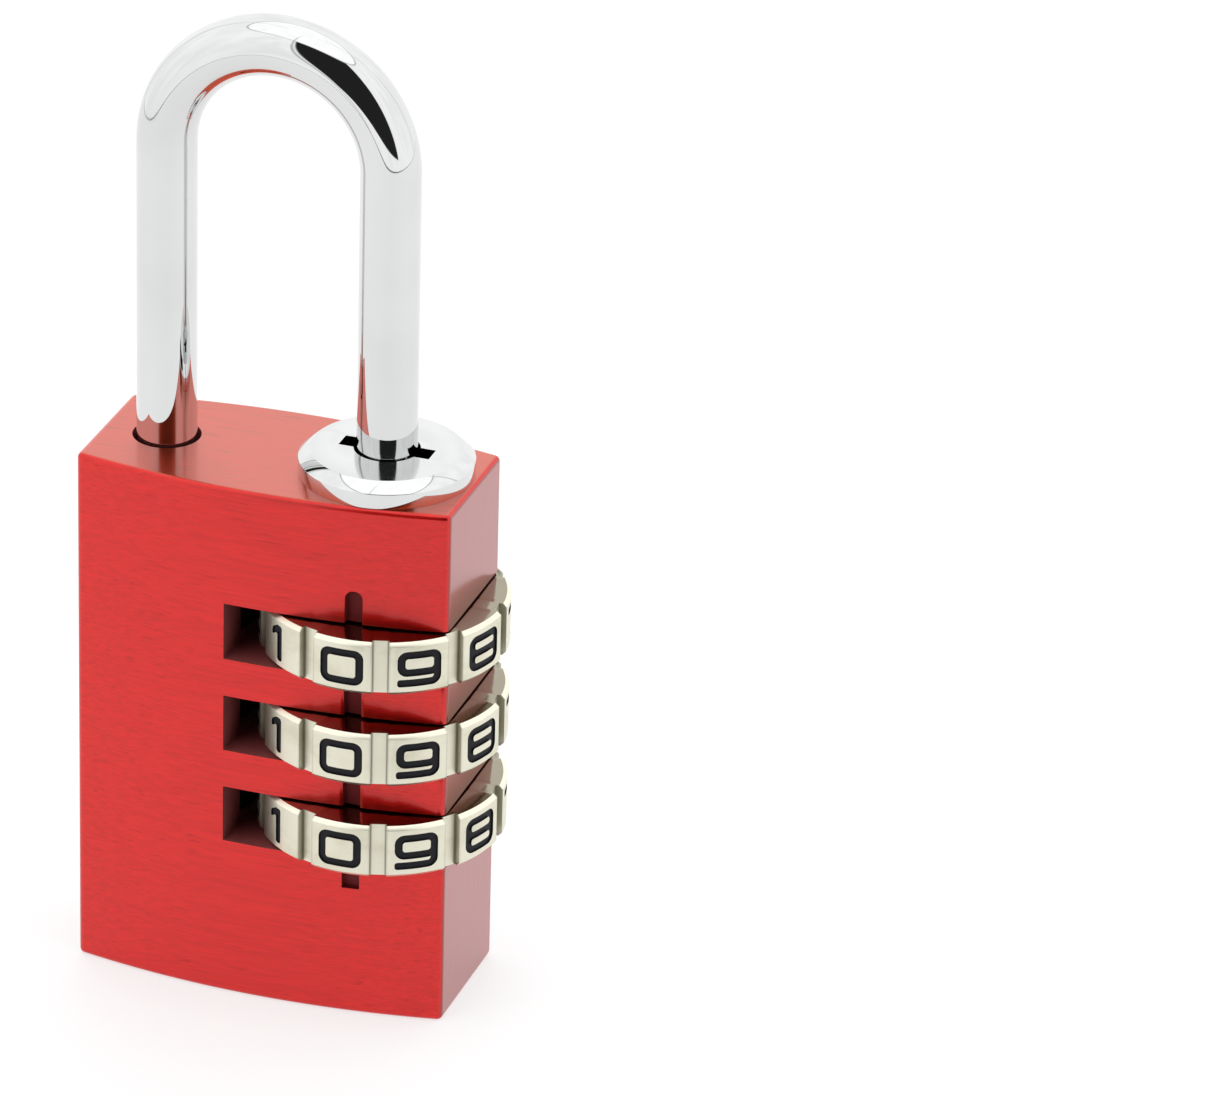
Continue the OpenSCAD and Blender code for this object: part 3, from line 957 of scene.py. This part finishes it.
class PADLOCK_OT_stage(Operator):
    """Make the floor, the white tent and the camera"""
    bl_idname = "padlock.make_stage"
    bl_label = "Stage"

    def execute(self, context):
        scene = context.scene
        stage = scene.padlock_stage
        bm = bmesh.new()
        bmesh.ops.create_circle(
            bm, cap_ends=True, segments=128, radius=stage.floor_radius,
            matrix=Matrix.Translation((0, stage.floor_back, 0)))
        material, tree, shader = new_material("pale_floor")
        point = object_point(tree)
        mottle = noise(tree, point, (40, 40, 40))
        radius = length(*axes(tree, moved(tree, point, 0, -stage.floor_back), "XY"))
        inside = stage.floor_radius - stage.floor_hem
        hem = radius.smooth(inside - 1 * MM, inside) * (1 - is_camera_ray(tree)) * 0.85
        tone = mix_colour(tree, mottle, (0.36, 0.36, 0.36), (0.38, 0.38, 0.38))
        dress(
            tree, shader, Base_Color=mix_colour(tree, hem, tone, (0, 0, 0)), Roughness=0.7,
            Emission_Color=mix_colour(tree, hem, (1, 1, 1), (0, 0, 0)), Emission_Strength=stage.floor_glow)
        floor = make_object("pale_floor", bm, material)
        if floor.data.polygons[0].normal.z < 0:
            floor.data.flip_normals()

        world = bpy.data.worlds.new("white_tent")
        scene.world = world
        world.use_nodes = True
        tree = world.node_tree
        tree.nodes.clear()
        direction = add_node(tree, "ShaderNodeTexCoord", output="Generated")
        x, y, z = axes(tree, direction, "XYZ")
        azimuth = x.math("ARCTAN2", y * -1)
        elevation = z.math("ARCSINE")
        deg = math.radians(1)
        opening = between(azimuth, *OPENING_SIDES, 1 * deg) * between(elevation, *OPENING_HEIGHT, 0.5 * deg)
        seams = 1 - abs(elevation - CEILING_EDGE).smooth(0.4 * deg, 1.0 * deg)
        for seam in UPRIGHT_SEAMS:
            seams = seams.math("MAXIMUM", 1 - abs(azimuth - seam).smooth(0.5 * deg, 1.1 * deg))
        folds = noise(tree, direction, (6, 6, 2), detail=2.0).smooth(0.3, 0.7)
        ceiling = elevation.smooth(CEILING_EDGE - 1 * deg, CEILING_EDGE + 1 * deg)
        tent = stage.tent_light * (0.92 + elevation.smooth(0, 50 * deg) * 0.08 + folds * 0.1 + ceiling * 0.16)
        tent = tent * (1 - seams * 0.45)
        level = tent - opening * (tent - OPENING_LIGHT)
        level = level + is_camera_ray(tree) * (BACKDROP_LIGHT - level)
        background = tree.nodes.new("ShaderNodeBackground")
        tree.links.new(level.socket, background.inputs["Strength"])
        background.inputs["Color"].default_value = (1, 1, 1, 1)
        out = tree.nodes.new("ShaderNodeOutputWorld")
        tree.links.new(background.outputs[0], out.inputs["Surface"])

        camera = bpy.data.objects.new("camera", bpy.data.cameras.new("camera"))
        scene.collection.objects.link(camera)
        a, e = stage.azimuth, stage.elevation
        back = Vector((math.sin(a) * math.cos(e), -math.cos(a) * math.cos(e), math.sin(e)))
        camera.location = Vector(stage.middle) + back * stage.distance
        turn = (Vector(stage.aim) - camera.location).to_track_quat("-Z", "Y")
        camera.rotation_mode = "QUATERNION"
        camera.rotation_quaternion = turn @ Quaternion((0, 0, 1), stage.roll)
        camera.data.sensor_width = 36
        camera.data.lens = stage.lens
        camera.data.clip_start = 0.01
        camera.data.clip_end = 10
        scene.camera = camera
        scene.view_settings.view_transform = "Standard"
        return {"FINISHED"}


class PADLOCK_PT_parts(Panel):
    """Buttons for the lock's pieces and their sizes"""
    bl_label = "Combination padlock"
    bl_idname = "PADLOCK_PT_parts"
    bl_space_type = "VIEW_3D"
    bl_region_type = "UI"
    bl_category = "Padlock"

    def draw(self, context):
        layout = self.layout
        for operator in OPERATORS:
            layout.operator(operator.bl_idname, text=operator.bl_label)
        for name, group in SETTINGS.items():
            box = layout.box()
            box.label(text=group.__doc__)
            for prop in group.__annotations__:
                box.prop(getattr(context.scene, name), prop)


SETTINGS = {
    "padlock_body": BodySizes,
    "padlock_shackle": ShackleSizes,
    "padlock_dials": DialSizes,
    "padlock_finishes": Finishes,
    "padlock_stage": StageSettings,
}
OPERATORS = (
    PADLOCK_OT_body, PADLOCK_OT_shackle, PADLOCK_OT_bush, PADLOCK_OT_dials, PADLOCK_OT_inner_parts,
    PADLOCK_OT_stage)
CLASSES = (*SETTINGS.values(), *OPERATORS, PADLOCK_PT_parts)


def register():
    """Registers the classes and the scene's settings"""
    for cls in CLASSES:
        bpy.utils.register_class(cls)
    for name, group in SETTINGS.items():
        setattr(bpy.types.Scene, name, PointerProperty(type=group))


def unregister():
    """Takes the settings and the classes away again"""
    for name in SETTINGS:
        delattr(bpy.types.Scene, name)
    for cls in reversed(CLASSES):
        bpy.utils.unregister_class(cls)


def main():
    """Makes every piece and the stage"""
    register()
    for operator in OPERATORS:
        group, name = operator.bl_idname.split(".")
        getattr(getattr(bpy.ops, group), name)()


if __name__ == "__main__":
    main()
